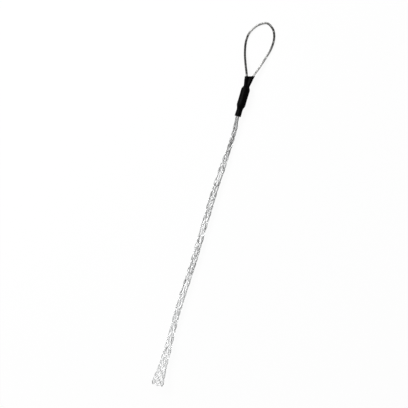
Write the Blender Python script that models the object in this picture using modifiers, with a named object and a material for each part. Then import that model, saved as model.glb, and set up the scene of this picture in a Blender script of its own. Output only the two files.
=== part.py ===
"""Cable pulling grip: a woven wire sock that tightens on a cable when it is pulled by its rope eye.

Strands of galvanised wire make the sock. Each runs down it as a helix, folds back at the open mouth
and returns as a helix of the other hand, so two legs of every strand reach the ferrule. The ferrule
is pressed over these legs and over both legs of a wire rope eye, and a black shrink sleeve covers it.
The grip lies at full length on a flat surface. +Y points from the mouth to the eye and +Z up, and
the origin is on the surface, below the middle of the whole.
"""

import math

import bpy
import numpy as np

# Strands and the sock they are woven into. Its diameters go through the strands' centres.
STRAND_DIA = 0.0009
STRAND_COUNT = 6
STRAND_CLEARANCE = 0.00008
SOCK_LENGTH = 0.434
NECK_LOOSENESS = 1.25
BODY_DIA = 0.0083
MOUTH_DIA = 0.0170
TAPER_LENGTH = 0.088
FLARE_LENGTH = 0.079
BULGE_DEPTH = 0.0003
BULGE_PITCH = 0.075
NECK_STRAIGHT_LENGTH = 0.012
ROW_PITCH = 0.010
MOUTH_ROW_PITCH = 0.006
FOLD_RADIUS = 0.0015
SOCK_TWIST = math.radians(150)

# Wire rope eye, outside sizes. The length starts at the sleeve.
ROPE_DIA = 0.0036
EYE_LENGTH = 0.0892
EYE_WIDTH = 0.0448
LEG_GAP = 0.0003
ROPE_STEP = 0.0045

# Ferrule, pressed over the rope's legs and the strands
FERRULE_LENGTH = 0.0318
FERRULE_WALL = 0.0020
FERRULE_NOSE_WALL = 0.0007
FERRULE_NOSE_LENGTH = 0.0030
FERRULE_TAIL_LENGTH = 0.0035
END_RECESS = 0.0005
PRESS_CLEARANCE = 0.0001

# Shrink sleeve
SLEEVE_WALL = 0.0007
SLEEVE_CLEARANCE = 0.0002
SLEEVE_NECK_LENGTH = 0.0180
SLEEVE_TAIL_LENGTH = 0.0142
SLEEVE_WAIST_LENGTH = 0.0022
SLEEVE_TAIL_TAPER_LENGTH = 0.0038
SLEEVE_TAIL_BORE = 0.0079
SLEEVE_MOUTH_SPREAD = 0.0044
SLEEVE_MOUTH_CLEARANCE = 0.0008
SLEEVE_MOUTH_SLANT = math.radians(16.5)

# How the grip lies
SOCK_SETTLE_LENGTH = 0.055
EYE_SETTLE_LENGTH = 0.050

# Sideways drift of the sock: share of its length from the neck, share of the widest drift
SOCK_DRIFT_WIDTH = 0.0025
SOCK_DRIFT = (
    (0.00, 0.0),
    (0.06, 0.80),
    (0.30, -0.56),
    (0.54, -0.50),
    (0.72, -1.20),
    (0.90, -0.32),
    (1.00, -0.32),
)

# Centre line of the eye: share of its half width, share of its length
EYE_OUTLINE = (
    (-0.53, 0.18),
    (-0.81, 0.36),
    (-0.98, 0.53),
    (-1.01, 0.65),
    (-0.94, 0.75),
    (-0.73, 0.85),
    (-0.40, 0.94),
    (0.14, 1.00),
    (0.63, 0.94),
    (0.87, 0.85),
    (0.97, 0.76),
    (0.99, 0.66),
    (0.92, 0.53),
    (0.72, 0.36),
    (0.49, 0.18),
)

RING_SEGMENTS = 24

# Sizes that follow from those above
STRAND_SPACING = STRAND_DIA + STRAND_CLEARANCE
NECK_DIA = NECK_LOOSENESS * STRAND_SPACING / math.sin(math.pi / (2 * STRAND_COUNT))
LEG_OFFSET = (ROPE_DIA + LEG_GAP) / 2
SLOT_SPAN = math.radians(84)


def slot_radius():
    """Radius on which the strands lie inside the ferrule, clear of the rope's legs and of each other."""
    first = (math.pi - SLOT_SPAN) / 2
    reach = (ROPE_DIA + STRAND_SPACING) / 2 + PRESS_CLEARANCE
    past_rope = LEG_OFFSET * math.cos(first) + math.sqrt(reach**2 - (LEG_OFFSET * math.sin(first)) ** 2)
    past_neighbour = STRAND_SPACING / (2 * math.sin(SLOT_SPAN / (2 * (STRAND_COUNT - 1))))
    return max(past_rope, past_neighbour)


SLOT_RADIUS = slot_radius()
FERRULE_BORE = max(SLOT_RADIUS + STRAND_DIA / 2, LEG_OFFSET + ROPE_DIA / 2) + PRESS_CLEARANCE
FERRULE_RADIUS = FERRULE_BORE + FERRULE_WALL
SLEEVE_LENGTH = SLEEVE_NECK_LENGTH + FERRULE_LENGTH + SLEEVE_TAIL_LENGTH
WAIST_START = SLEEVE_NECK_LENGTH - SLEEVE_WAIST_LENGTH
FERRULE_FRONT = -SLEEVE_NECK_LENGTH
FERRULE_BACK = FERRULE_FRONT - FERRULE_LENGTH
SOCK_NECK = -SLEEVE_LENGTH
AXIS_HEIGHT = FERRULE_RADIUS + SLEEVE_CLEARANCE + SLEEVE_WALL


def ease(share):
    """A smooth step from 0 to 1."""
    share = np.clip(share, 0.0, 1.0)
    return share * share * (3 - 2 * share)


def eased_through(stations, places):
    """Values at places, each eased from one (place, value) station to the next."""
    marks, values = np.array(stations).T
    i = np.clip(np.searchsorted(marks, places, side="right") - 1, 0, len(marks) - 2)
    return values[i] + ease((places - marks[i]) / (marks[i + 1] - marks[i])) * (values[i + 1] - values[i])


def smooth_path(knots, step):
    """Points about a step apart on the Catmull-Rom curve through the knots."""
    knots = np.array([knots[0], *knots, knots[-1]])
    share = np.linspace(0, 1, 20, endpoint=False)[:, None]
    pieces = []
    for before, start, end, after in zip(knots, knots[1:], knots[2:], knots[3:]):
        line = end - before
        bend = 2 * before - 5 * start + 4 * end - after
        twist = 3 * start - 3 * end + after - before
        pieces.append(start + 0.5 * share * (line + share * (bend + share * twist)))
    fine = np.concatenate([*pieces, knots[-1:]])
    along = np.concatenate([[0], np.cumsum(np.linalg.norm(np.diff(fine, axis=0), axis=1))])
    even = np.linspace(0, along[-1], round(along[-1] / step) + 1)
    return np.stack([np.interp(even, along, fine[:, axis]) for axis in range(3)], axis=1)


def weave_radius(down):
    """Radius of the sock, to the strands' centres, at a distance down from its neck."""
    stations = (
        (0.0, NECK_DIA / 2),
        (0.6 * TAPER_LENGTH, NECK_DIA / 2 + 0.15 * (BODY_DIA - NECK_DIA) / 2),
        (TAPER_LENGTH, BODY_DIA / 2),
        (SOCK_LENGTH - FLARE_LENGTH, BODY_DIA / 2),
        (SOCK_LENGTH - 0.53 * FLARE_LENGTH, BODY_DIA / 2 + 0.32 * (MOUTH_DIA - BODY_DIA) / 2),
        (SOCK_LENGTH, MOUTH_DIA / 2),
    )
    grown = ease(down / TAPER_LENGTH)
    bulge = BULGE_DEPTH / 2 * np.cos(2 * math.pi * (down - SOCK_LENGTH / 2) / BULGE_PITCH)
    return eased_through(stations, down) + grown * bulge


def crimp(radius):
    """Step of a strand off the weave's mid surface at a crossing.

    Between crossings a strand runs straight from one side of the weave to the other, and this step
    keeps it clear of the strand that it crosses over that whole run, not only where they cross.
    """
    same_hand_spacing = 2 * math.pi * radius / STRAND_COUNT
    return STRAND_SPACING / 2 / np.sqrt(1 - (2 * STRAND_SPACING / same_hand_spacing) ** 2)


def sock_axis(down):
    """Sideways place and height of the sock's axis at a distance down from its neck."""
    share = np.clip(down / SOCK_LENGTH, 0.0, 1.0)
    radius = weave_radius(np.clip(down, 0.0, SOCK_LENGTH))
    lying = radius + crimp(radius) + STRAND_DIA / 2
    raised = 1 - ease(down / SOCK_SETTLE_LENGTH)
    drift = SOCK_DRIFT_WIDTH * eased_through(SOCK_DRIFT, share)
    return drift, lying + raised * (AXIS_HEIGHT - lying)


def row_table():
    """How many rows of crossings lie between the mouth and each distance down the sock."""
    down = np.linspace(NECK_STRAIGHT_LENGTH, SOCK_LENGTH, 800)
    flared = ease((down - SOCK_LENGTH + FLARE_LENGTH) / FLARE_LENGTH)
    pitch = ROW_PITCH + flared * (MOUTH_ROW_PITCH - ROW_PITCH)
    middle = (1 / pitch[1:] + 1 / pitch[:-1]) / 2 * np.diff(down)
    rows = np.concatenate([np.cumsum(middle[::-1])[::-1], [0]])
    return down, rows


def strand_path(number, rows_total, fold_turn):
    """One strand's centre line, from its first end in the ferrule round the fold to its second end."""
    row_turn = math.pi / STRAND_COUNT
    fold_rows = (0.15, 0.3, 0.5, 0.75)
    leg_rows = np.array([0, *fold_rows, *range(1, rows_total), rows_total - 0.5])
    rows = np.concatenate([-leg_rows[:0:-1], leg_rows])
    turn = rows * row_turn
    rounded = np.hypot(turn, fold_turn) - fold_turn
    table_down, table_rows = row_table()
    table_turn = table_rows / table_rows[0] * rounded[0]
    down = np.interp(rounded, table_turn[::-1], table_down[::-1])
    radius = weave_radius(down)
    side = np.sin(np.clip(rows, -1, 1) * math.pi / 2)
    out = radius + crimp(radius) * np.cos(turn * STRAND_COUNT) * side
    angle = turn + 2 * math.pi * number / STRAND_COUNT + SOCK_TWIST * (down - NECK_STRAIGHT_LENGTH) / SOCK_LENGTH
    first = lead_in(angle[0])
    second = lead_in(angle[-1])
    down, angle, out = np.concatenate([first, np.stack([down, angle, out]), second[:, ::-1]], axis=1)
    across, height = sock_axis(down)
    return np.stack([across + out * np.cos(angle), SOCK_NECK - down, height + out * np.sin(angle)], axis=1)


def lead_in(angle):
    """Distance down, angle and radius of a leg from its end in the ferrule to the sock's neck."""
    up = math.copysign(math.pi / 2, math.sin(angle))
    from_up = math.remainder(angle - up, 2 * math.pi)
    slot_from_up = from_up * SLOT_SPAN / (math.pi * (1 - 1 / STRAND_COUNT))
    ferrule_end = SOCK_NECK - FERRULE_BACK
    down = np.array([ferrule_end - FERRULE_LENGTH + END_RECESS, *np.linspace(ferrule_end, 0, 6)])
    share = ease(down / ferrule_end)
    out = NECK_DIA / 2 + share * (SLOT_RADIUS - NECK_DIA / 2)
    return np.stack([down, angle + share * (slot_from_up - from_up), out])


def rope_path():
    """The rope's centre line, from the end of one leg in the ferrule round the eye to the other."""
    half_width = (EYE_WIDTH - ROPE_DIA) / 2
    length = EYE_LENGTH - ROPE_DIA / 2
    legs = [(SLEEVE_MOUTH_SPREAD, 0.0), ((SLEEVE_MOUTH_SPREAD + LEG_OFFSET) / 2, -WAIST_START / 2)]
    legs += [(LEG_OFFSET, y) for y in np.linspace(-WAIST_START, FERRULE_BACK + END_RECESS, 6)]
    flat = [(-x, y) for x, y in reversed(legs)]
    flat += [(x * half_width, y * length) for x, y in EYE_OUTLINE]
    flat += legs
    path = smooth_path([(x, y, 0.0) for x, y in flat], ROPE_STEP)
    settled = ease(path[:, 1] / EYE_SETTLE_LENGTH)
    path[:, 2] = AXIS_HEIGHT + settled * (ROPE_DIA / 2 - AXIS_HEIGHT)
    return path


def leg_across(path, side, along):
    """Sideways place of the rope's leg on one side, -1 or 1, at a distance along the grip."""
    crown = path[:, 1].argmax()
    leg = path[: crown + 1] if side < 0 else path[crown:][::-1]
    return np.interp(along, leg[:, 1], leg[:, 0])


def sleeve_stations():
    """Distance from the sleeve's mouth, inner radius and how far it opens to both legs, for each section."""
    rope = ROPE_DIA / 2 + SLEEVE_CLEARANCE
    mouth = ROPE_DIA / 2 + SLEEVE_MOUTH_CLEARANCE
    body = FERRULE_RADIUS + SLEEVE_CLEARANCE
    nose = FERRULE_BORE + FERRULE_NOSE_WALL + SLEEVE_CLEARANCE
    tail = SLEEVE_TAIL_BORE / 2
    nose_start = SLEEVE_NECK_LENGTH - SLEEVE_CLEARANCE
    ferrule_end = SLEEVE_NECK_LENGTH + FERRULE_LENGTH
    stations = [
        (WAIST_START * share, mouth + (rope - mouth) * share, 1.0) for share in (0.0, 0.3, 0.6, 0.8, 1.0)
    ]
    stations += [
        (WAIST_START + 0.55 * SLEEVE_WAIST_LENGTH, 0.65 * rope + 0.35 * nose, 0.65),
        (nose_start, nose, 0.0),
        (SLEEVE_NECK_LENGTH + 0.5 * FERRULE_NOSE_LENGTH, 0.35 * nose + 0.65 * body, 0.0),
        (SLEEVE_NECK_LENGTH + FERRULE_NOSE_LENGTH, body, 0.0),
        (ferrule_end - FERRULE_TAIL_LENGTH, body, 0.0),
        (ferrule_end - 0.5 * FERRULE_TAIL_LENGTH, 0.35 * nose + 0.65 * body, 0.0),
        (ferrule_end + SLEEVE_CLEARANCE, nose, 0.0),
        (ferrule_end + SLEEVE_TAIL_TAPER_LENGTH, tail, 0.0),
        (SLEEVE_LENGTH, tail + SLEEVE_CLEARANCE, 0.0),
    ]
    return stations


def material(name, color, metallic, roughness):
    made = bpy.data.materials.new(name)
    made.use_nodes = True
    shader = made.node_tree.nodes["Principled BSDF"]
    shader.inputs["Base Color"].default_value = (*color, 1.0)
    shader.inputs["Metallic"].default_value = metallic
    shader.inputs["Roughness"].default_value = roughness
    return made


def place(obj, finish):
    """Put an object in the grip's collection, below the grip's empty, with its own material."""
    obj.data.materials.append(finish)
    grip_collection.objects.link(obj)
    obj.parent = grip
    return obj


def wire(name, path, diameter, bevel_resolution, finish):
    """A round wire along a path."""
    curve = bpy.data.curves.new(name, "CURVE")
    curve.dimensions = "3D"
    curve.bevel_depth = diameter / 2
    curve.bevel_resolution = bevel_resolution
    curve.use_fill_caps = True
    spline = curve.splines.new("POLY")
    spline.points.add(len(path) - 1)
    spline.points.foreach_set("co", np.column_stack([path, np.ones(len(path))]).ravel())
    return place(bpy.data.objects.new(name, curve), finish)


def make_strands():
    down, rows = row_table()
    mouth_lean = math.pi * MOUTH_DIA / 2 / (STRAND_COUNT * MOUTH_ROW_PITCH)
    fold_turn = FOLD_RADIUS / mouth_lean / (MOUTH_DIA / 2)
    rows_total = round(rows[0] + 0.5 + fold_turn * STRAND_COUNT / math.pi)
    for number in range(STRAND_COUNT):
        name = f"strand_{number + 1}"
        path = strand_path(number, rows_total, fold_turn)
        wire(name, path, STRAND_DIA, 1, material(name, (0.55, 0.56, 0.56), 1.0, 0.42))


def make_eye(rope):
    wire("eye_rope", rope, ROPE_DIA, 3, material("eye_rope", (0.42, 0.43, 0.42), 1.0, 0.45))


def make_ferrule():
    """A turned tube with a short nose towards the eye and a longer one towards the sock."""
    nose_radius = FERRULE_BORE + FERRULE_NOSE_WALL
    top = FERRULE_LENGTH / 2
    profile = (
        (nose_radius, top),
        (FERRULE_RADIUS, top - FERRULE_NOSE_LENGTH),
        (FERRULE_RADIUS, FERRULE_TAIL_LENGTH - top),
        (nose_radius, -top),
        (FERRULE_BORE, -top),
        (FERRULE_BORE, top),
    )
    mesh = bpy.data.meshes.new("ferrule")
    loop = [(i, (i + 1) % len(profile)) for i in range(len(profile))]
    mesh.from_pydata([(radius, 0.0, along) for radius, along in profile], loop, [])
    ferrule = place(bpy.data.objects.new("ferrule", mesh), material("ferrule", (0.5, 0.5, 0.5), 1.0, 0.35))
    ferrule.location = (0.0, (FERRULE_FRONT + FERRULE_BACK) / 2, AXIS_HEIGHT)
    ferrule.rotation_euler = (-math.pi / 2, 0.0, 0.0)
    turn = ferrule.modifiers.new("turn", "SCREW")
    turn.steps = RING_SEGMENTS
    turn.render_steps = RING_SEGMENTS
    turn.use_merge_vertices = True
    turn.merge_threshold = 0.00001
    turn.use_smooth_shade = False


def make_sleeve(rope):
    """A tube lofted from the flat mouth over the two rope legs to round sections, then thickened."""
    angles = (np.arange(RING_SEGMENTS) + 0.5) * 2 * math.pi / RING_SEGMENTS
    side = np.sign(np.cos(angles))
    vertices = []
    for distance, radius, opened in sleeve_stations():
        lead = math.tan(SLEEVE_MOUTH_SLANT) * max(0.0, 1 - distance / WAIST_START)
        along = lead * (SLEEVE_MOUTH_SPREAD + radius) * np.cos(angles) - distance
        leg = np.where(side < 0, leg_across(rope, -1, along), leg_across(rope, 1, along))
        across = radius * np.cos(angles) + opened * leg
        vertices += zip(across, along, AXIS_HEIGHT + radius * np.sin(angles))
    faces = []
    for start in range(0, len(vertices) - RING_SEGMENTS, RING_SEGMENTS):
        for i in range(RING_SEGMENTS):
            j = (i + 1) % RING_SEGMENTS
            faces.append((start + i, start + j, start + RING_SEGMENTS + j, start + RING_SEGMENTS + i))
    mesh = bpy.data.meshes.new("shrink_sleeve")
    mesh.from_pydata(vertices, [], faces)
    mesh.shade_smooth()
    finish = material("shrink_sleeve", (0.012, 0.012, 0.013), 0.0, 0.45)
    sleeve = place(bpy.data.objects.new("shrink_sleeve", mesh), finish)
    wall = sleeve.modifiers.new("wall", "SOLIDIFY")
    wall.thickness = SLEEVE_WALL
    wall.offset = 1.0
    wall.use_even_offset = True


def centre_on_surface():
    """Move the whole grip so that the origin is on the surface, below its middle."""
    bpy.context.view_layer.update()
    depsgraph = bpy.context.evaluated_depsgraph_get()
    low = np.full(3, np.inf)
    high = np.full(3, -np.inf)
    for obj in grip_collection.objects:
        if obj != grip:
            seen = obj.evaluated_get(depsgraph)
            mesh = seen.to_mesh()
            points = np.array([seen.matrix_world @ vertex.co for vertex in mesh.vertices])
            seen.to_mesh_clear()
            low = np.minimum(low, points.min(axis=0))
            high = np.maximum(high, points.max(axis=0))
    grip.location = (-(low[0] + high[0]) / 2, -(low[1] + high[1]) / 2, -low[2])


for old in list(bpy.data.objects):
    bpy.data.objects.remove(old, do_unlink=True)

grip_collection = bpy.data.collections.new("cable_pulling_grip")
bpy.context.scene.collection.children.link(grip_collection)
grip = bpy.data.objects.new("cable_pulling_grip", None)
grip_collection.objects.link(grip)

rope = rope_path()
make_strands()
make_eye(rope)
make_ferrule()
make_sleeve(rope)
centre_on_surface()
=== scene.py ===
"""Looks of a cable pulling grip: a woven wire sock, a wire rope eye, and the ferrule and shrink sleeve
that join them.

The sock's strands and the rope are laid up from single wires along the centre lines of the frame's
own pieces. Distances down the grip start at the sleeve's mouth for the eye and the sleeve, and at the
sleeve's lower end for the sock. Everything is in metres.
"""

import math

import bpy
import numpy as np
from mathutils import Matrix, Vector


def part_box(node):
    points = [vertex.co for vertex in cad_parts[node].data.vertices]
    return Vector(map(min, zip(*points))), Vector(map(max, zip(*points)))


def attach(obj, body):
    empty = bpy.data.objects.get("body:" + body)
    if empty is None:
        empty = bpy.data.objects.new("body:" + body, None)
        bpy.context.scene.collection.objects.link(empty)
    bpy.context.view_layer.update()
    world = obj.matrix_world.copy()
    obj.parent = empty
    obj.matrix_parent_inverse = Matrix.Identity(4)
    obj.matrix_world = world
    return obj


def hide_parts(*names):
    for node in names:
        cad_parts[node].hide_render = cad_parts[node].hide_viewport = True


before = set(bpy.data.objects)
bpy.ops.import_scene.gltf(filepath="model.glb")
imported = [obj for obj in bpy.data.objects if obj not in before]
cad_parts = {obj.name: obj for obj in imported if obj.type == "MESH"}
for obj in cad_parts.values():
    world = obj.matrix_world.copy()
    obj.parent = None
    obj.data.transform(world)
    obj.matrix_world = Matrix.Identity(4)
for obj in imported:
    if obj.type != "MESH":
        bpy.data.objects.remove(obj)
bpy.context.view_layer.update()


# The ferrule is a steel tube that is pressed over the rope's legs and the strands. The sleeve hides all
# of it but its ends, so the frame's own piece stays. The rest of the grip is placed from it.

SLEEVE_NECK_LENGTH = 0.0180
FERRULE_LENGTH = 0.0318
FERRULE_NOSE_LENGTH = 0.0030
FERRULE_WALL = 0.0020

ferrule_low, ferrule_high = (np.array(corner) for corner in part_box("ferrule"))
AXIS_X, FERRULE_MIDDLE, AXIS_HEIGHT = (ferrule_low + ferrule_high) / 2
MOUTH_Y = FERRULE_MIDDLE + FERRULE_LENGTH / 2 + SLEEVE_NECK_LENGTH
FERRULE_FRONT = -SLEEVE_NECK_LENGTH
FERRULE_BACK = FERRULE_FRONT - FERRULE_LENGTH
FERRULE_RADIUS = ferrule_high[0] - AXIS_X
FERRULE_BORE = FERRULE_RADIUS - FERRULE_WALL


def ease(share):
    """A smooth step from 0 to 1: three times the square less twice the cube."""
    share = np.clip(share, 0.0, 1.0)
    return share * share * (3 - 2 * share)


def add_node(tree, kind, **inputs):
    """A shader node with some of its inputs set or linked, by name."""
    node = tree.nodes.new(kind)
    for name, value in inputs.items():
        socket = node.inputs[name.replace("_", " ")]
        if isinstance(value, bpy.types.NodeSocket):
            tree.links.new(value, socket)
        else:
            socket.default_value = value
    return node


def mixed(tree, share, first, second):
    """A colour between two others."""
    node = tree.nodes.new("ShaderNodeMix")
    node.data_type = "RGBA"
    for socket, value in zip((node.inputs[0], node.inputs[6], node.inputs[7]), (share, first, second)):
        if isinstance(value, bpy.types.NodeSocket):
            tree.links.new(value, socket)
        else:
            socket.default_value = value
    return node.outputs[2]


def ranged(tree, value, low, high, to_low, to_high):
    """A value carried linearly from one range to another, and held at its ends."""
    node = add_node(tree, "ShaderNodeMapRange", Value=value, From_Min=low, From_Max=high)
    node.inputs["To Min"].default_value = to_low
    node.inputs["To Max"].default_value = to_high
    return node.outputs["Result"]


def calculated(tree, operation, first, second, clamp=False):
    """The sum, product or the like of two values, either of which may be a plain number."""
    node = tree.nodes.new("ShaderNodeMath")
    node.operation = operation
    node.use_clamp = clamp
    for socket, value in zip(node.inputs, (first, second)):
        if isinstance(value, bpy.types.NodeSocket):
            tree.links.new(value, socket)
        else:
            socket.default_value = value
    return node.outputs[0]


def zinc_group():
    """Zinc on drawn wire: fresh metal greyed in clouds and specks, and wax in the grooves that also paints
    their shade.

    A darkening input spreads the darker colour over the fresh and fills the grooves with wax. On the
    ferrule it is plain dulling, on the rope painted shade and light along the eye, and on the strands
    dulling with painted shade towards the neck. The clouds move it up or down by 0.35 at most, so below
    -0.35 the metal is fresh but for its specks, and past 1.35 all of the darker colour.
    """
    group = bpy.data.node_groups.new("zinc_wear_and_painted_shade", "ShaderNodeTree")
    colors = (("Fresh", "Color"), ("Dull_and_shade", "Color"), ("Wax", "Color"))
    for name, kind in (*colors, ("Groove", "Float"), ("Age", "Float")):
        group.interface.new_socket(name, in_out="INPUT", socket_type=f"NodeSocket{kind}")
    for name, kind in (("Color", "Color"), ("Clouds", "Float"), ("Height", "Float")):
        group.interface.new_socket(name, in_out="OUTPUT", socket_type=f"NodeSocket{kind}")
    entry = group.nodes.new("NodeGroupInput")
    place = group.nodes.new("ShaderNodeTexCoord").outputs["Object"]
    clouds = add_node(group, "ShaderNodeTexNoise", Vector=place, Scale=160.0, Detail=4.0)
    specks = add_node(group, "ShaderNodeTexNoise", Vector=place, Scale=1600.0, Detail=2.0)
    cloudy = ranged(group, clouds.outputs["Fac"], 0.38, 0.62, -0.35, 0.35)
    # Darkening from the clouds and the input: on the rope painted shade and light, on the strands dulling
    # with painted shade.
    dulling_and_shade_share = calculated(group, "ADD", cloudy, entry.outputs["Age"], clamp=True)
    metal = mixed(group, dulling_and_shade_share, entry.outputs["Fresh"], entry.outputs["Dull_and_shade"])
    speckled = ranged(group, specks.outputs["Fac"], 0.35, 0.7, 0.0, 0.15)
    spotted = mixed(group, speckled, metal, entry.outputs["Dull_and_shade"])
    filled = ranged(group, entry.outputs["Age"], 0.0, 1.0, 0.35, 1.0)
    # Wax in the grooves, which also paints their shade, fuller where the metal is darkened.
    groove_wax_and_shade = calculated(group, "MULTIPLY", entry.outputs["Groove"], filled)
    with_groove_wax_and_shade = mixed(group, groove_wax_and_shade, spotted, entry.outputs["Wax"])
    leave = group.nodes.new("NodeGroupOutput")
    group.links.new(with_groove_wax_and_shade, leave.inputs["Color"])
    group.links.new(clouds.outputs["Fac"], leave.inputs["Clouds"])
    group.links.new(specks.outputs["Fac"], leave.inputs["Height"])
    return group


zinc_wear_and_painted_shade = zinc_group()


def zinc_material(name, fresh, dull_and_shade, wax, rough, groove=0.0):
    """A metal with the zinc group of wear and painted shade, smooth to rough in the same clouds as its
    colour.

    Where it has grooves, their depth and how far the metal is darkened come from attributes of the mesh;
    on the rope that darkening is painted shade and light, on the strands dulling with painted shade.
    """
    made = bpy.data.materials.new(name)
    made.use_nodes = True
    tree = made.node_tree
    shader = tree.nodes["Principled BSDF"]
    shader.inputs["Metallic"].default_value = 1.0
    zinc = tree.nodes.new("ShaderNodeGroup")
    zinc.node_tree = zinc_wear_and_painted_shade
    for socket, color in (("Fresh", fresh), ("Dull_and_shade", dull_and_shade), ("Wax", wax)):
        zinc.inputs[socket].default_value = (*color, 1.0)
    zinc.inputs["Age"].default_value = 0.5
    if groove:
        depth, shade_and_dulling = (tree.nodes.new("ShaderNodeAttribute") for _ in range(2))
        depth.attribute_name = "groove"
        shade_and_dulling.attribute_name = "shade_and_dulling"
        tree.links.new(ranged(tree, depth.outputs["Fac"], 0.35, 1.0, 0.0, groove), zinc.inputs["Groove"])
        tree.links.new(shade_and_dulling.outputs["Fac"], zinc.inputs["Age"])
    tree.links.new(zinc.outputs["Color"], shader.inputs["Base Color"])
    tree.links.new(ranged(tree, zinc.outputs["Clouds"], 0.35, 0.65, *rough), shader.inputs["Roughness"])
    bump = add_node(tree, "ShaderNodeBump", Strength=0.05, Distance=0.0001, Height=zinc.outputs["Height"])
    tree.links.new(bump.outputs["Normal"], shader.inputs["Normal"])
    return made


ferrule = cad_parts["ferrule"]
ferrule.data.materials.clear()
ferrule.data.materials.append(
    zinc_material(
        "ferrule_zinc", fresh=(0.62, 0.62, 0.60), dull_and_shade=(0.42, 0.42, 0.41), wax=(0.10, 0.10, 0.10),
        rough=(0.36, 0.54),
    )
)


# The eye is one length of 7 x 7 wire rope, 3.6 mm across: seven strands of seven 0.4 mm wires. Both its
# ends lie in the ferrule, and the loop is free to open for a shackle. It has been handled, so wax and
# dirt lie in its grooves, where they also paint the grooves' shade. Along the eye its zinc is painted
# darker where the rope lies in shade and paler where light falls on it, darkest up the left leg.

ROPE_DIA = 0.0036
ROPE_STRANDS = 6
ROPE_WIRE_DIA = ROPE_DIA / 9
ROPE_LAY = 0.028
ROPE_STRAND_LAY = 0.007
EYE_LENGTH = 0.0892
EYE_WIDTH = 0.0448
LEG_OFFSET = 0.00195
END_RECESS = 0.0005
WAIST_START = 0.0158
MOUTH_SPREAD = 0.0044
EYE_SETTLE_LENGTH = 0.050
ROPE_RING_STEP = 0.0006
ROPE_WIRE_POINTS = 5
ROPE_CORE_POINTS = 8
LEG_KNOTS = 6
KNOT_SAMPLES = 60

# Painted shade and light along the rope's eye, darker where it lies in shade and paler where light
# falls: share of the eye's run from its left leg, darkening
ROPE_PAINTED_SHADE_AND_LIGHT = (
    (0.00, 0.80),
    (0.12, 1.40),
    (0.20, 1.20),
    (0.28, 1.00),
    (0.40, 0.05),
    (0.48, 0.00),
    (0.53, 0.95),
    (0.64, 0.95),
    (0.76, 0.30),
    (0.88, -0.05),
    (1.00, -0.40),
)

# Centre line of the eye: share of its half width, share of its length
EYE_OUTLINE = (
    (-0.53, 0.18),
    (-0.81, 0.36),
    (-0.98, 0.53),
    (-1.01, 0.65),
    (-0.94, 0.75),
    (-0.73, 0.85),
    (-0.40, 0.94),
    (0.14, 1.00),
    (0.63, 0.94),
    (0.87, 0.85),
    (0.97, 0.76),
    (0.99, 0.66),
    (0.92, 0.53),
    (0.72, 0.36),
    (0.49, 0.18),
)


def smooth_path(knots, step):
    """Points about a step apart on the Catmull-Rom curve through the knots.

    Between two knots the curve is half of 2b + (c - a)t + (2a - 5b + 4c - d)t^2 + (3b - 3c + d - a)t^3,
    where a, b, c and d are the knots around it.
    """
    knots = np.array([knots[0], *knots, knots[-1]])
    before, start, end, after = (knots[i : len(knots) - 3 + i, None] for i in range(4))
    share = np.linspace(0, 1, KNOT_SAMPLES, endpoint=False)[None, :, None]
    bend = 2 * before - 5 * start + 4 * end - after
    twist = 3 * start - 3 * end + after - before
    fine = start + 0.5 * share * (end - before + share * (bend + share * twist))
    return evenly(np.concatenate([fine.reshape(-1, 3), knots[-1:]]), step)


def length_along(path):
    """Distance along a path at each of its points, the sum of the steps between their x, y and z."""
    return np.concatenate([[0], np.cumsum(np.linalg.norm(np.diff(path[:, :3], axis=0), axis=1))])


def evenly(path, step):
    """The path with its points, and any values they carry, spread evenly, about a step apart."""
    along = length_along(path)
    even = np.linspace(0, along[-1], round(along[-1] / step) + 1)
    return np.stack([np.interp(even, along, values) for values in path.T], axis=1)


def eased_through(stations, places):
    """Values at places, each eased from one (place, value) station to the next."""
    marks, values = np.array(stations).T
    i = np.clip(np.searchsorted(marks, places, side="right") - 1, 0, len(marks) - 2)
    return values[i] + ease((places - marks[i]) / (marks[i + 1] - marks[i])) * (values[i + 1] - values[i])


def rope_path(step):
    """The rope's centre line: up one leg, round the eye and down the other leg, into the ferrule."""
    half_width = (EYE_WIDTH - ROPE_DIA) / 2
    length = EYE_LENGTH - ROPE_DIA / 2
    legs = [(MOUTH_SPREAD, 0.0), ((MOUTH_SPREAD + LEG_OFFSET) / 2, -WAIST_START / 2)]
    legs += [(LEG_OFFSET, y) for y in np.linspace(-WAIST_START, FERRULE_BACK + END_RECESS, LEG_KNOTS)]
    flat = [(-x, y) for x, y in reversed(legs)]
    flat += [(x * half_width, y * length) for x, y in EYE_OUTLINE]
    flat += legs
    path = smooth_path([(x, y, 0.0) for x, y in flat], step)
    path[:, 2] = AXIS_HEIGHT + ease(path[:, 1] / EYE_SETTLE_LENGTH) * (ROPE_DIA / 2 - AXIS_HEIGHT)
    return path


def unit(vectors):
    """The vectors at a length of one."""
    return vectors / np.linalg.norm(vectors, axis=-1, keepdims=True)


def laid_section(wire_dia, points):
    """Outline of six wires laid round a seventh, as complex numbers, and each point's depth in a groove.

    Wire k stands at two wire radii from the middle, at k sixths of a turn. Its outer face runs from 120
    degrees on one side of its own outward line to 120 on the other, where it meets the next wire.
    """
    wire_turn = np.exp(1j * np.arange(6) * math.pi / 3)
    face = np.radians(-120 + 240 * np.arange(points) / points)
    outline = wire_dia / 2 * (2 + np.exp(1j * face)) * wire_turn[:, None]
    groove = (1.5 * wire_dia - np.abs(outline)) / (1.5 - math.cos(math.pi / 6)) / wire_dia
    return outline.ravel(), groove.ravel()


def carried(path, outward, section, turns):
    """A section carried along a path, as an array of rings by points.

    Up is the part of the outward direction that is square to the path, and side is up times the path's
    direction. Each ring is the section turned by its own angle, with its real part along side and its
    imaginary part along up.
    """
    ahead = unit(np.gradient(path, axis=0))
    up = unit(outward - (outward * ahead).sum(axis=1, keepdims=True) * ahead)
    side = np.cross(up, ahead)
    turned = section * np.exp(1j * turns)[:, None]
    return path[:, None] + turned.real[..., None] * side[:, None] + turned.imag[..., None] * up[:, None]


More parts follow.
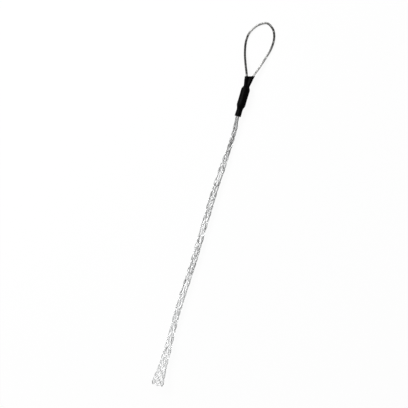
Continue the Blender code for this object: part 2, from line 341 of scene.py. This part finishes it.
def closed_tube(rings, points, first):
    """Quads of a tube of rings, and the triangles that close each end round the point after its rings."""
    i, j = np.meshgrid(np.arange(rings - 1), np.arange(points), indexing="ij")
    near, far, beside = i * points, (i + 1) * points, (j + 1) % points
    quads = np.stack([near + j, near + beside, far + beside, far + j], axis=-1).reshape(-1, 4)
    j, beside = j[0], beside[0]
    last = (rings - 1) * points
    start = np.stack([beside, j, np.full(points, rings * points)], axis=-1)
    end = np.stack([last + j, last + beside, np.full(points, rings * points + 1)], axis=-1)
    return quads + first, np.concatenate([start, end]) + first


def new_piece(name, vertices, quads, triangles, finish):
    """A smooth mesh object at the origin, made from whole arrays."""
    mesh = bpy.data.meshes.new(name)
    mesh.vertices.add(len(vertices))
    mesh.vertices.foreach_set("co", vertices.ravel())
    corners = np.concatenate([quads.ravel(), triangles.ravel()]).astype(np.int32)
    sides = np.concatenate([np.full(len(quads), 4), np.full(len(triangles), 3)])
    mesh.loops.add(len(corners))
    mesh.loops.foreach_set("vertex_index", corners)
    mesh.polygons.add(len(sides))
    mesh.polygons.foreach_set("loop_start", (np.cumsum(sides) - sides).astype(np.int32))
    mesh.update(calc_edges=True)
    mesh.validate()
    mesh.shade_smooth()
    mesh.materials.append(finish)
    piece = bpy.data.objects.new(name, mesh)
    bpy.context.scene.collection.objects.link(piece)
    return piece


def tube_piece(name, tubes, finish):
    """One object of closed tubes, each given as its rings, its points' groove depths and its darkening,
    which holds painted shade and light.
    """
    vertices, quads, triangles, grooves, shade_and_dulling_values = [], [], [], [], []
    count = 0
    for rings, groove, shade_and_dulling in tubes:
        tube_quads, tube_triangles = closed_tube(rings.shape[0], rings.shape[1], count)
        quads.append(tube_quads)
        triangles.append(tube_triangles)
        vertices += [rings.reshape(-1, 3), rings[[0, -1]].mean(axis=1)]
        grooves += [np.tile(groove, rings.shape[0]), np.zeros(2)]
        shade_and_dulling_values += [np.repeat(shade_and_dulling, rings.shape[1]), shade_and_dulling[[0, -1]]]
        count += rings.shape[0] * rings.shape[1] + 2
    piece = new_piece(name, *(np.concatenate(part) for part in (vertices, quads, triangles)), finish)
    for attribute, values in (("groove", grooves), ("shade_and_dulling", shade_and_dulling_values)):
        stored = piece.data.attributes.new(attribute, "FLOAT", "POINT")
        stored.data.foreach_set("value", np.concatenate(values).astype(np.float32))
    return piece


def make_rope():
    """Six strands laid round a core strand; each strand's wires turn the other way as the strands do."""
    path = rope_path(ROPE_RING_STEP) + (AXIS_X, MOUTH_Y, 0.0)
    up = np.tile((0.0, 0.0, 1.0), (len(path), 1))
    strand_radius = 1.5 * ROPE_WIRE_DIA
    section, groove = laid_section(ROPE_WIRE_DIA, ROPE_WIRE_POINTS)
    along = length_along(path)
    outside = (path[:, 1] > MOUTH_Y).nonzero()[0][[0, -1]]
    share = np.clip((along - along[outside[0]]) / (along[outside[1]] - along[outside[0]]), 0.0, 1.0)
    # Painted shade and light along the eye: its zinc darkened where the rope lies in shade and kept pale
    # where light falls.
    shade_and_dulling = eased_through(ROPE_PAINTED_SHADE_AND_LIGHT, share)
    tubes = []
    for strand in range(ROPE_STRANDS):
        turn = 2 * math.pi * (along / ROPE_LAY + strand / ROPE_STRANDS)
        centres = carried(path, up, np.array([2j * strand_radius]), turn)[:, 0]
        lay = -2 * math.pi * along / ROPE_STRAND_LAY
        tubes.append((carried(centres, centres - path, section, lay), groove, shade_and_dulling))
    core = strand_radius * np.exp(2j * math.pi * np.arange(ROPE_CORE_POINTS) / ROPE_CORE_POINTS)
    tubes.append((carried(path, up, core, np.zeros(len(path))), np.ones(len(core)), shade_and_dulling))
    # The near black colour that the darkening reaches is the painted shade of the eye's darker stretches.
    finish = zinc_material(
        "rope_zinc", fresh=(0.66, 0.66, 0.65), dull_and_shade=(0.085, 0.085, 0.082), wax=(0.04, 0.04, 0.037),
        rough=(0.42, 0.54), groove=0.25,
    )
    return tube_piece("rope_eye", tubes, finish), path


rope_eye, rope_line = make_rope()
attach(rope_eye, "root")
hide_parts("eye_rope")


# The sock is woven from six galvanised strands. Each runs down it as a helix, folds back at the open
# mouth and returns as a helix of the other hand, going over one strand and under the next. Each strand
# is laid up from seven 0.3 mm wires.

STRAND_COUNT = 6
STRAND_DIA = 0.0009
STRAND_WIRE_DIA = STRAND_DIA / 3
STRAND_LAY = 0.0135
STRAND_RING_STEP = 0.0005
STRAND_WIRE_POINTS = 4
STRAND_SPACING = 0.00098
SOCK_LENGTH = 0.434
NECK_LOOSENESS = 1.25
NECK_DIA = NECK_LOOSENESS * STRAND_SPACING / math.sin(math.pi / (2 * STRAND_COUNT))
BODY_DIA = 0.0083
MOUTH_DIA = 0.0170
TAPER_LENGTH = 0.088
FLARE_LENGTH = 0.079
BULGE_DEPTH = 0.0003
BULGE_PITCH = 0.075
NECK_STRAIGHT_LENGTH = 0.012
ROW_PITCH = 0.010
MOUTH_ROW_PITCH = 0.006
FOLD_RADIUS = 0.0015
SOCK_TWIST = math.radians(150)
PRESS_CLEARANCE = 0.0001
SLOT_RADIUS = FERRULE_BORE - PRESS_CLEARANCE - STRAND_DIA / 2
SLOT_SPAN = math.radians(84)
SLEEVE_TAIL_LENGTH = 0.0142
SOCK_SETTLE_LENGTH = 0.055
SOCK_NECK = FERRULE_BACK - SLEEVE_TAIL_LENGTH
ROW_SAMPLES = 800
POINTS_A_ROW = 40
LEAD_IN_POINTS = 80

# Where the taper and the flare bend: share of their length, from the neck and from the mouth, and share
# of the way from the thinner end's diameter to the thicker one's
TAPER_BEND = (0.60, 0.15)
FLARE_BEND = (0.53, 0.32)

# Sideways drift of the sock: share of its length from the neck, share of SOCK_DRIFT_WIDTH
SOCK_DRIFT_WIDTH = 0.0025
SOCK_DRIFT = (
    (0.00, 0.0),
    (0.06, 0.80),
    (0.30, -0.56),
    (0.54, -0.50),
    (0.72, -1.20),
    (0.90, -0.32),
    (1.00, -0.32),
)

# How far the strands' zinc is darkened, a dulling with painted shade that is darkest at the neck, where
# the packed wires shade each other, with paler stretches of painted light near the mouth, where the open
# weave is lit all round: share of the sock's length from the neck, darkening; and each strand's own step,
# darker or paler
STRAND_DULLING_AND_PAINTED_SHADE = (
    (0.00, 2.00),
    (0.04, 1.05),
    (0.09, 0.78),
    (0.17, 0.52),
    (0.25, 0.68),
    (0.35, 0.30),
    (0.60, 0.42),
    (0.76, -0.30),
    (0.85, 0.15),
    (0.92, -0.30),
    (0.95, -0.25),
    (1.00, 0.45),
)
STRAND_TONE_STEP = (0.40, -0.35, 0.15, -0.40, 0.45, -0.25)


def weave_radius(down):
    """Radius of the sock, to the strands' centres, at a distance down from its neck."""
    neck, body, mouth = NECK_DIA / 2, BODY_DIA / 2, MOUTH_DIA / 2
    stations = (
        (0.0, neck),
        (TAPER_BEND[0] * TAPER_LENGTH, neck + TAPER_BEND[1] * (body - neck)),
        (TAPER_LENGTH, body),
        (SOCK_LENGTH - FLARE_LENGTH, body),
        (SOCK_LENGTH - FLARE_BEND[0] * FLARE_LENGTH, body + FLARE_BEND[1] * (mouth - body)),
        (SOCK_LENGTH, mouth),
    )
    bulge = BULGE_DEPTH / 2 * np.cos(2 * math.pi * (down - SOCK_LENGTH / 2) / BULGE_PITCH)
    return eased_through(stations, down) + ease(down / TAPER_LENGTH) * bulge


def crimp(radius):
    """Step of a strand off the weave's mid surface at a crossing."""
    same_hand_spacing = 2 * math.pi * radius / STRAND_COUNT
    return STRAND_SPACING / 2 / np.sqrt(1 - (2 * STRAND_SPACING / same_hand_spacing) ** 2)


def sock_axis(down):
    """Sideways place and height of the sock's axis at a distance down from its neck."""
    radius = weave_radius(np.clip(down, 0.0, SOCK_LENGTH))
    lying = radius + crimp(radius) + STRAND_DIA / 2
    drift = SOCK_DRIFT_WIDTH * eased_through(SOCK_DRIFT, np.clip(down / SOCK_LENGTH, 0.0, 1.0))
    return drift, lying + (1 - ease(down / SOCK_SETTLE_LENGTH)) * (AXIS_HEIGHT - lying)


def row_table():
    """How many rows of crossings lie between the mouth and each distance down the sock."""
    down = np.linspace(NECK_STRAIGHT_LENGTH, SOCK_LENGTH, ROW_SAMPLES)
    flared = ease((down - SOCK_LENGTH + FLARE_LENGTH) / FLARE_LENGTH)
    pitch = ROW_PITCH + flared * (MOUTH_ROW_PITCH - ROW_PITCH)
    middle = (1 / pitch[1:] + 1 / pitch[:-1]) / 2 * np.diff(down)
    return down, np.concatenate([np.cumsum(middle[::-1])[::-1], [0]])


def lead_in(angle, steps):
    """Distance down, angle and radius of a leg from its end in the ferrule to where the weave starts."""
    up = math.copysign(math.pi / 2, math.sin(angle))
    from_up = math.remainder(angle - up, 2 * math.pi)
    slot_from_up = from_up * SLOT_SPAN / (math.pi * (1 - 1 / STRAND_COUNT))
    down = np.linspace(-SLEEVE_TAIL_LENGTH - FERRULE_LENGTH + END_RECESS, NECK_STRAIGHT_LENGTH, steps)[:-1]
    gathered = ease(-down / SLEEVE_TAIL_LENGTH)
    angle = angle + gathered * (slot_from_up - from_up)
    out = weave_radius(np.maximum(down, 0.0))
    return np.stack([down, angle, out + gathered * (SLOT_RADIUS - out)])


def strand_line(number):
    """One strand's centre line, the directions out from the sock's axis along it, and its darkening, a
    dulling with painted shade.

    A strand turns round the sock by half a turn each STRAND_COUNT rows. Its turn is a hyperbola of the
    rows near the fold, which rounds it, and its radius swings in and out by the crimp as the cosine of
    the rows.
    """
    table_down, table_rows = row_table()
    mouth_lean = math.pi * MOUTH_DIA / 2 / (STRAND_COUNT * MOUTH_ROW_PITCH)
    fold_turn = FOLD_RADIUS / mouth_lean / (MOUTH_DIA / 2)
    rows_total = round(table_rows[0] + 0.5 + fold_turn * STRAND_COUNT / math.pi)
    rows = np.linspace(0.5 - rows_total, rows_total - 0.5, POINTS_A_ROW * rows_total + 1)
    turn = rows * math.pi / STRAND_COUNT
    rounded = np.hypot(turn, fold_turn) - fold_turn
    table_turn = table_rows / table_rows[0] * rounded[0]
    down = np.interp(rounded, table_turn[::-1], table_down[::-1])
    side = np.sin(np.clip(rows, -1, 1) * math.pi / 2)
    radius = weave_radius(down)
    out = radius + crimp(radius) * np.cos(turn * STRAND_COUNT) * side
    twist = SOCK_TWIST * (down - NECK_STRAIGHT_LENGTH) / SOCK_LENGTH
    angle = turn + 2 * math.pi * number / STRAND_COUNT + twist
    first, second = lead_in(angle[0], LEAD_IN_POINTS), lead_in(angle[-1], LEAD_IN_POINTS)
    down, angle, out = np.concatenate([first, np.stack([down, angle, out]), second[:, ::-1]], axis=1)
    across, height = sock_axis(down)
    x = AXIS_X + across + out * np.cos(angle)
    y = MOUTH_Y + SOCK_NECK - down
    z = height + out * np.sin(angle)
    # Darkening along the sock, dulling with painted shade towards the neck, plus the strand's own step.
    shade_and_dulling = eased_through(STRAND_DULLING_AND_PAINTED_SHADE, np.clip(down / SOCK_LENGTH, 0.0, 1.0)) + STRAND_TONE_STEP[number]
    line = evenly(np.stack([x, y, z, np.cos(angle), np.sin(angle), shade_and_dulling], axis=1), STRAND_RING_STEP)
    outward = np.stack([line[:, 3], np.zeros(len(line)), line[:, 4]], axis=1)
    return line[:, :3], outward, line[:, 5]


def make_strands():
    """All the strands, each its own piece with the same section and finish."""
    section, groove = laid_section(STRAND_WIRE_DIA, STRAND_WIRE_POINTS)
    # The strands' darker colour is also their painted shade towards the neck.
    finish = zinc_material(
        "strand_zinc",
        fresh=(0.95, 0.96, 0.96),
        dull_and_shade=(0.28, 0.28, 0.28),
        wax=(0.12, 0.12, 0.11),
        rough=(0.32, 0.46),
        groove=0.05,
    )
    for number in range(STRAND_COUNT):
        line, outward, shade_and_dulling = strand_line(number)
        rings = carried(line, outward, section, 2 * math.pi * length_along(line) / STRAND_LAY)
        strand = tube_piece(f"sock_strand_{number + 1}", [(rings, groove, shade_and_dulling)], finish)
        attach(strand, "root")
        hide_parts(f"strand_{number + 1}")


make_strands()


# The sleeve is a black heat-shrink tube over the ferrule. It has shrunk onto the ferrule's shoulders,
# is pinched flat between the rope's two legs, and grips the strands at its lower end, where its edge is
# torn by a small notch.

SLEEVE_WALL = 0.0007
SLEEVE_LENGTH = 0.064
FERRULE_NOSE_WALL = 0.0007
FERRULE_TAIL_LENGTH = 0.0035
SLEEVE_CLEARANCE = 0.0002
MOUTH_CLEARANCE = 0.0008
TAIL_BORE = 0.0079
TAIL_TAPER_LENGTH = 0.0038
MOUTH_SLANT = math.radians(16.5)
PINCH_GAP = 0.0003
WAIST_DIP = 0.00025
SLEEVE_RINGS = 220
SLEEVE_POINTS = 120
LIP_POINTS = 5

# Where the tube bends: share of the way from the waist's start to the ferrule, and share of the step
# from the radius on the ferrule's nose to that at the waist or on the ferrule's body
WAIST_BEND = 0.55
SHOULDER_BEND = 0.65
PROFILE_OVERRUN = 0.001
PROFILE_SAMPLES = 400
PROFILE_BLUR = 4

# Faint ripples over the ferrule, which turn by the twist in radians a metre, and over the strands' legs
BODY_RIPPLE = 0.00007
BODY_RIPPLES = 6
BODY_RIPPLE_TWIST = 260.0
BODY_RIPPLE_END = 0.0463
TAIL_RIPPLE = 0.00008
TAIL_RIPPLE_START = 0.0516
RIPPLE_FADE = 0.006

# The lower edge, which is wavy and notched over its last few millimetres
TORN_LENGTH = 0.005
EDGE_WAVE = 0.0005
EDGE_WAVE_ANGLE = math.radians(100)
NOTCH_DEPTH = 0.0022
NOTCH_WIDTH = 0.13
NOTCH_ANGLE = math.radians(82)


def sleeve_profile(distance):
    """Inner radius at distances from the mouth, and how far the section opens to hold both legs.

    Both run straight from station to station, and a normal curve of PROFILE_BLUR samples rounds them.
    """
    rope = ROPE_DIA / 2 + SLEEVE_CLEARANCE
    mouth = ROPE_DIA / 2 + MOUTH_CLEARANCE
    body = FERRULE_RADIUS + SLEEVE_CLEARANCE
    nose = FERRULE_BORE + FERRULE_NOSE_WALL + SLEEVE_CLEARANCE
    tail = TAIL_BORE / 2
    waist = WAIST_START + WAIST_BEND * (SLEEVE_NECK_LENGTH - WAIST_START)
    shoulder = nose + SHOULDER_BEND * (body - nose)
    ferrule_end = SLEEVE_NECK_LENGTH + FERRULE_LENGTH
    stations = np.array([
        (-PROFILE_OVERRUN, mouth, 1.0),
        (0.0, mouth, 1.0),
        (WAIST_START, rope, 1.0),
        (waist, nose + SHOULDER_BEND * (rope - nose), SHOULDER_BEND),
        (SLEEVE_NECK_LENGTH - SLEEVE_CLEARANCE, nose, 0.0),
        (SLEEVE_NECK_LENGTH + FERRULE_NOSE_LENGTH / 2, shoulder, 0.0),
        (SLEEVE_NECK_LENGTH + FERRULE_NOSE_LENGTH, body, 0.0),
        (ferrule_end - FERRULE_TAIL_LENGTH, body, 0.0),
        (ferrule_end - FERRULE_TAIL_LENGTH / 2, shoulder, 0.0),
        (ferrule_end + SLEEVE_CLEARANCE, nose, 0.0),
        (ferrule_end + TAIL_TAPER_LENGTH, tail, 0.0),
        (SLEEVE_LENGTH + PROFILE_OVERRUN, tail + SLEEVE_CLEARANCE, 0.0),
    ])
    fine = np.linspace(-PROFILE_OVERRUN, SLEEVE_LENGTH + PROFILE_OVERRUN, PROFILE_SAMPLES)
    margin = 3 * PROFILE_BLUR
    spread = np.exp(-0.5 * (np.arange(-margin, margin + 1) / PROFILE_BLUR) ** 2)
    values = []
    for column in stations[:, 1:].T:
        padded = np.pad(np.interp(fine, stations[:, 0], column), margin, mode="edge")
        smooth = np.convolve(padded, spread / spread.sum(), mode="valid")
        values.append(np.interp(distance, fine, smooth))
    return values


def leg_across(side, along):
    """Sideways place of the rope's leg on one side, -1 or 1, at distances along the grip."""
    local = rope_line - (AXIS_X, MOUTH_Y, 0.0)
    crown = local[:, 1].argmax()
    leg = local[: crown + 1] if side < 0 else local[crown:][::-1]
    return np.interp(along, leg[:, 1], leg[:, 0])


def black_polymer():
    """Near black shrink tube: soft gloss, a fine orange-peel skin, and dust that dulls it in patches."""
    made = bpy.data.materials.new("black_polymer")
    made.use_nodes = True
    tree = made.node_tree
    shader = tree.nodes["Principled BSDF"]
    place = tree.nodes.new("ShaderNodeTexCoord").outputs["Object"]
    patches = add_node(tree, "ShaderNodeTexNoise", Vector=place, Scale=220.0, Detail=5.0).outputs["Fac"]
    skin = add_node(tree, "ShaderNodeTexNoise", Vector=place, Scale=1500.0, Detail=3.0).outputs["Fac"]
    worn = ranged(tree, patches, 0.4, 0.7, 0.0, 1.0)
    color = mixed(tree, worn, (0.0009, 0.0009, 0.0010, 1.0), (0.0020, 0.0020, 0.0022, 1.0))
    tree.links.new(color, shader.inputs["Base Color"])
    tree.links.new(ranged(tree, patches, 0.35, 0.7, 0.42, 0.58), shader.inputs["Roughness"])
    shader.inputs["Specular IOR Level"].default_value = 0.035
    bump = add_node(tree, "ShaderNodeBump", Strength=0.25, Distance=0.0002, Height=skin)
    tree.links.new(bump.outputs["Normal"], shader.inputs["Normal"])
    return made


def stadium(radius, right, left):
    """Outward angle at points round a stadium, and how far across the nearest point of its middle line is.

    From its right end the outline goes up a quarter circle, back over the upper flat, down a half circle,
    along the lower flat and up the last quarter, in even steps. Where the flats are 0 it is a circle.
    """
    flat = right - left
    quarter = math.pi / 2 * radius
    run = np.arange(SLEEVE_POINTS) / SLEEVE_POINTS * (4 * quarter + 2 * flat)
    angle = np.clip(run / radius, 0, math.pi / 2)
    angle = angle + np.clip((run - quarter - flat) / radius, 0, math.pi)
    angle = angle + np.clip((run - 3 * quarter - 2 * flat) / radius, 0, math.pi / 2)
    return angle, right - np.clip(run - quarter, 0, flat) + np.clip(run - 3 * quarter - flat, 0, flat)


def ripple(down, angle):
    """How far the ripples stand out: cosines of the angle, eased in and out over their lengths."""
    over_ferrule = ease((down - SLEEVE_NECK_LENGTH) / RIPPLE_FADE)
    over_ferrule = over_ferrule * ease((BODY_RIPPLE_END - down) / RIPPLE_FADE)
    over_strands = ease((down - TAIL_RIPPLE_START) / RIPPLE_FADE)
    body = BODY_RIPPLE * over_ferrule * np.cos(BODY_RIPPLES * angle + BODY_RIPPLE_TWIST * down)
    return body + TAIL_RIPPLE * over_strands * np.cos(2 * STRAND_COUNT * angle)


def torn_edge(down, angle):
    """How far the lower edge reaches on: a cosine of the angle, less a normal curve for the notch."""
    torn = ease((down - SLEEVE_LENGTH + TORN_LENGTH) / TORN_LENGTH)
    from_notch = np.remainder(angle - NOTCH_ANGLE + math.pi, 2 * math.pi) - math.pi
    notch = NOTCH_DEPTH * np.exp(-((from_notch / NOTCH_WIDTH) ** 2))
    return torn * (EDGE_WAVE * np.cos(angle - EDGE_WAVE_ANGLE) - notch)


def make_sleeve():
    """A closed shell: down the outside, round the lower lip, up the inside and round the mouth's lip.

    Each section is a stadium round the rope's legs, whose flats dip towards each other between the legs
    by the square of one less the square of the share of the way out to a leg.
    """
    straight = np.linspace(0.0, SLEEVE_LENGTH, SLEEVE_RINGS)
    lip = np.linspace(math.pi / 2, -math.pi / 2, LIP_POINTS + 2)[1:-1]
    half = SLEEVE_WALL / 2
    distance = np.concatenate([
        straight, SLEEVE_LENGTH + half * np.cos(lip), straight[::-2], -half * np.cos(lip[::-1])
    ])
    extra = np.concatenate([
        np.full(len(straight), SLEEVE_WALL), half * (1 + np.sin(lip)),
        np.zeros(len(straight[::-2])), half * (1 + np.sin(lip[::-1])),
    ])
    inner, opened = sleeve_profile(distance)
    lead = math.tan(MOUTH_SLANT) * np.maximum(0.0, 1 - distance / WAIST_START)
    right = opened * leg_across(1, lead * MOUTH_SPREAD - distance)
    left = opened * leg_across(-1, -lead * MOUTH_SPREAD - distance)
    columns = (distance, extra, inner, opened, lead, right, left)
    down, extra, inner, opened, lead, right, left = (values[:, None] for values in columns)
    angle, centre = stadium(inner + extra, right, left)
    radius = inner + extra + ripple(down, angle)
    across = centre + radius * np.cos(angle)
    height = radius * np.sin(angle)
    reach = np.maximum((right - left) / 2, LEG_OFFSET)
    apart = ease((reach - LEG_OFFSET) / (MOUTH_SPREAD - LEG_OFFSET))
    pinch = apart * (inner - PINCH_GAP / 2) + WAIST_DIP * opened * (1 - apart)
    dip = pinch * np.clip(1 - ((across - (right + left) / 2) / reach) ** 2, 0, 1) ** 2
    height = height - np.sign(height) * np.minimum(dip, np.abs(height))
    along = lead * across - down - torn_edge(down, angle)
    rings = np.stack([AXIS_X + across, MOUTH_Y + along, AXIS_HEIGHT + height], axis=-1)
    count, points = rings.shape[:2]
    i, j = np.meshgrid(np.arange(count), np.arange(points), indexing="ij")
    below, beside = (i + 1) % count * points, (j + 1) % points
    faces = np.stack([i * points + j, i * points + beside, below + beside, below + j], axis=-1)
    no_triangles = np.empty((0, 3), int)
    return new_piece("sleeve", rings.reshape(-1, 3), faces.reshape(-1, 4), no_triangles, black_polymer())


sleeve = make_sleeve()
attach(sleeve, "root")
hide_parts("shrink_sleeve")


# Floor, light and camera. The grip lies on a white surface under soft light, seen from straight above
# and turned as it lies in the photograph.

FRAME_WIDTH = 0.6324
FRAME_CENTRE = (-0.01103, -0.00462)
FRAME_TURN = math.radians(16.58)
FOCUS_HEIGHT = 0.005
CAMERA_HEIGHT = 2.2
FLOOR_REACH = 4.0
FLOOR_WHITE = 0.94
FLOOR_PLAIN_SHARE = 0.94
KEY_PLACE = (-1.30, 0.68, 1.34)
KEY_SIZE = 0.8
KEY_POWER = 37.0
WORLD_STRENGTH = 0.36


def make_floor():
    """A white floor that shows as plain white to the camera and in reflections, with a faint shadow."""
    mesh = bpy.data.meshes.new("floor")
    corners = [(x * FLOOR_REACH, y * FLOOR_REACH, 0.0) for x, y in ((-1, -1), (1, -1), (1, 1), (-1, 1))]
    mesh.from_pydata(corners, [], [(0, 1, 2, 3)])
    floor = bpy.data.objects.new("floor", mesh)
    bpy.context.scene.collection.objects.link(floor)
    white = bpy.data.materials.new("white_floor")
    white.use_nodes = True
    tree = white.node_tree
    shader = tree.nodes["Principled BSDF"]
    shader.inputs["Base Color"].default_value = (FLOOR_WHITE, FLOOR_WHITE, FLOOR_WHITE, 1.0)
    shader.inputs["Roughness"].default_value = 0.9
    shader.inputs["Specular IOR Level"].default_value = 0.0
    light = add_node(tree, "ShaderNodeEmission", Color=(1.0, 1.0, 1.0, 1.0), Strength=1.0)
    ray = tree.nodes.new("ShaderNodeLightPath").outputs
    seen = calculated(tree, "MAXIMUM", ray["Is Camera Ray"], ray["Is Glossy Ray"])
    seen = calculated(tree, "MAXIMUM", seen, ray["Is Transmission Ray"])
    mix = tree.nodes.new("ShaderNodeMixShader")
    tree.links.new(calculated(tree, "MULTIPLY", seen, FLOOR_PLAIN_SHARE), mix.inputs[0])
    tree.links.new(shader.outputs[0], mix.inputs[1])
    tree.links.new(light.outputs[0], mix.inputs[2])
    tree.links.new(mix.outputs[0], tree.nodes["Material Output"].inputs["Surface"])
    mesh.materials.append(white)


def make_light(name, place, size, power):
    """A square soft light at a place, turned towards the origin."""
    lamp = bpy.data.lights.new(name, "AREA")
    lamp.size = size
    lamp.energy = power
    light = bpy.data.objects.new(name, lamp)
    light.location = place
    x, y, z = place
    light.rotation_euler = (math.atan2(math.hypot(x, y), z), 0.0, math.atan2(x, -y))
    bpy.context.scene.collection.objects.link(light)


make_floor()
make_light("key", KEY_PLACE, KEY_SIZE, KEY_POWER)

world = bpy.data.worlds.new("pale_world")
world.use_nodes = True
background = world.node_tree.nodes["Background"]
background.inputs["Color"].default_value = (1.0, 1.0, 1.0, 1.0)
background.inputs["Strength"].default_value = WORLD_STRENGTH
bpy.context.scene.world = world

lens = bpy.data.cameras.new("camera")
lens.sensor_width = 36.0
lens.lens = lens.sensor_width * CAMERA_HEIGHT / FRAME_WIDTH
camera = bpy.data.objects.new("camera", lens)
camera.location = (*FRAME_CENTRE, FOCUS_HEIGHT + CAMERA_HEIGHT)
camera.rotation_euler = (0.0, 0.0, FRAME_TURN)
bpy.context.scene.collection.objects.link(camera)
bpy.context.scene.camera = camera
bpy.context.scene.view_settings.view_transform = "Standard"
